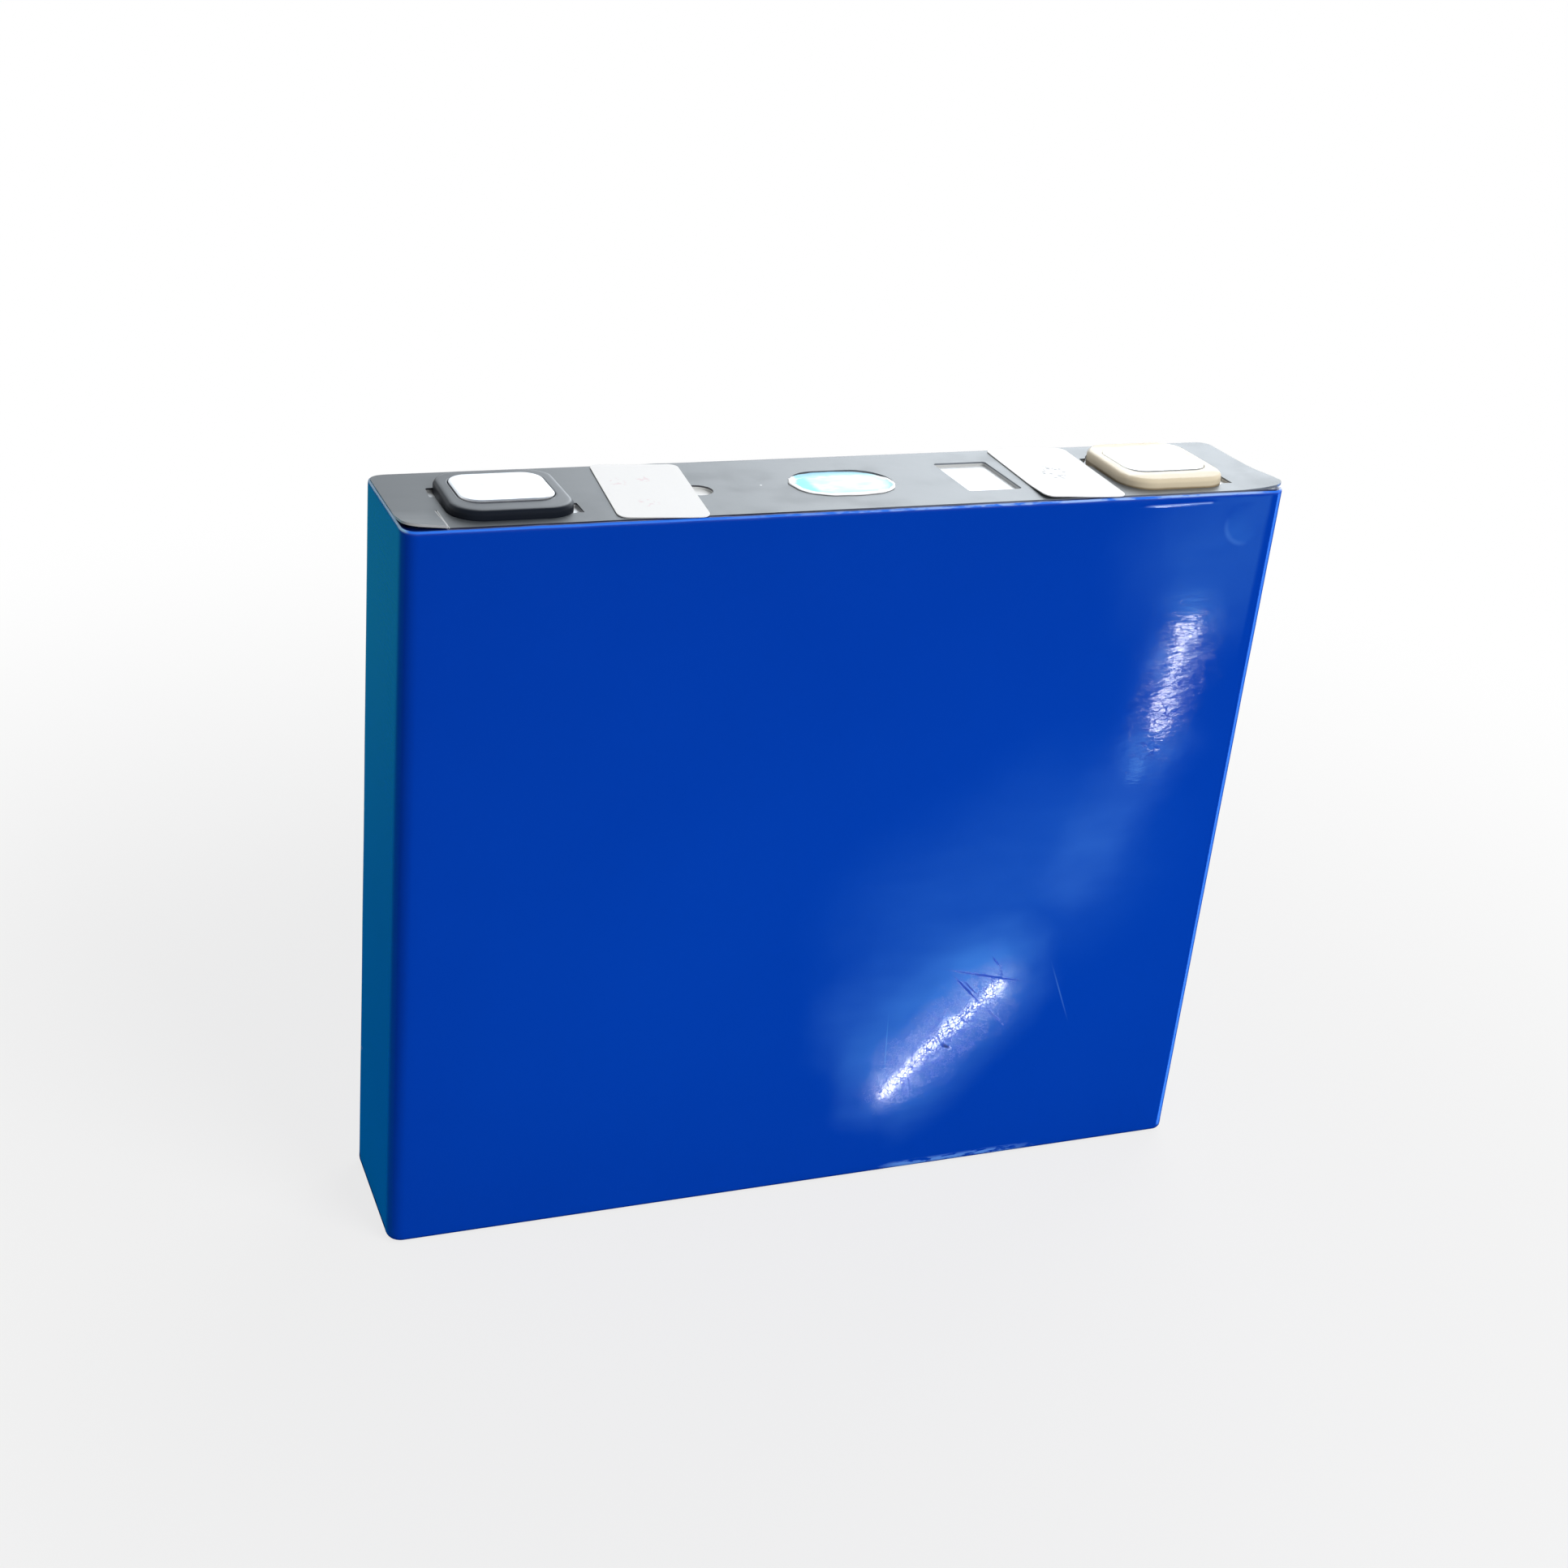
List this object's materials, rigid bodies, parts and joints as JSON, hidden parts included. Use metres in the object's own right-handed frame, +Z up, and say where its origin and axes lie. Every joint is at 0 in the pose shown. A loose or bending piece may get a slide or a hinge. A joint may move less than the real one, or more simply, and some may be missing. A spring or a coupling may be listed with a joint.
{
  "type": "prismatic battery cell",
  "caption": "Flat prismatic lithium-ion cell: aluminium can in blue film, with a weld pad near each end of the lid and a burst vent in its middle.",
  "frame": {"origin": "middle of the face that the cell stands on", "axes": "+X along the width from the negative to the positive terminal, +Y through the thickness from the front to the back face, +Z up through the lid"},
  "size_m": [0.1484, 0.0266, 0.1278],
  "materials": {
    "blue_film": "smooth gloss film",
    "grey_sheet": "satin",
    "white_sticker": "matt",
    "can_aluminium": "drawn",
    "lid_aluminium": "brushed",
    "pad_aluminium": "satin",
    "aluminium_inside": "satin",
    "copper_inside": "satin copper",
    "black_plastic": "satin",
    "cream_plastic": "satin",
    "clear_cyan_film": "clear gloss",
    "vent_foil": "scored foil",
    "inner_plastic": "matt",
    "seal_rubber": "matt",
    "electrode_foil": "coated foil, dark grey",
    "bag_film": "clear film",
    "tape": "green tape"
  },
  "bodies": {
    "root": {"wrap_film": "blue_film", "top_sheet": "grey_sheet", "label_left": "white_sticker", "label_right": "white_sticker", "can": "can_aluminium", "lid_plate": "lid_aluminium", "vent_disc": "vent_foil", "vent_film": "clear_cyan_film", "vent_grille": "inner_plastic", "fill_plug": "seal_rubber", "fill_cap": "lid_aluminium", "negative_frame": "black_plastic", "negative_pad": "pad_aluminium", "negative_rivet": "copper_inside", "negative_seal": "seal_rubber", "negative_insulator": "inner_plastic", "negative_collector": "copper_inside", "negative_tabs_front": "copper_inside", "negative_tabs_back": "copper_inside", "negative_weld_tape": "tape", "positive_frame": "cream_plastic", "positive_pad": "pad_aluminium", "positive_rivet": "aluminium_inside", "positive_seal": "seal_rubber", "positive_insulator": "inner_plastic", "positive_collector": "aluminium_inside", "positive_tabs_front": "aluminium_inside", "positive_tabs_back": "aluminium_inside", "positive_weld_tape": "tape", "roll_front": "electrode_foil", "roll_back": "electrode_foil", "closing_tape_front": "tape", "closing_tape_back": "tape", "roll_bag": "bag_film", "bottom_tray": "inner_plastic"}
  },
  "joints": []
}
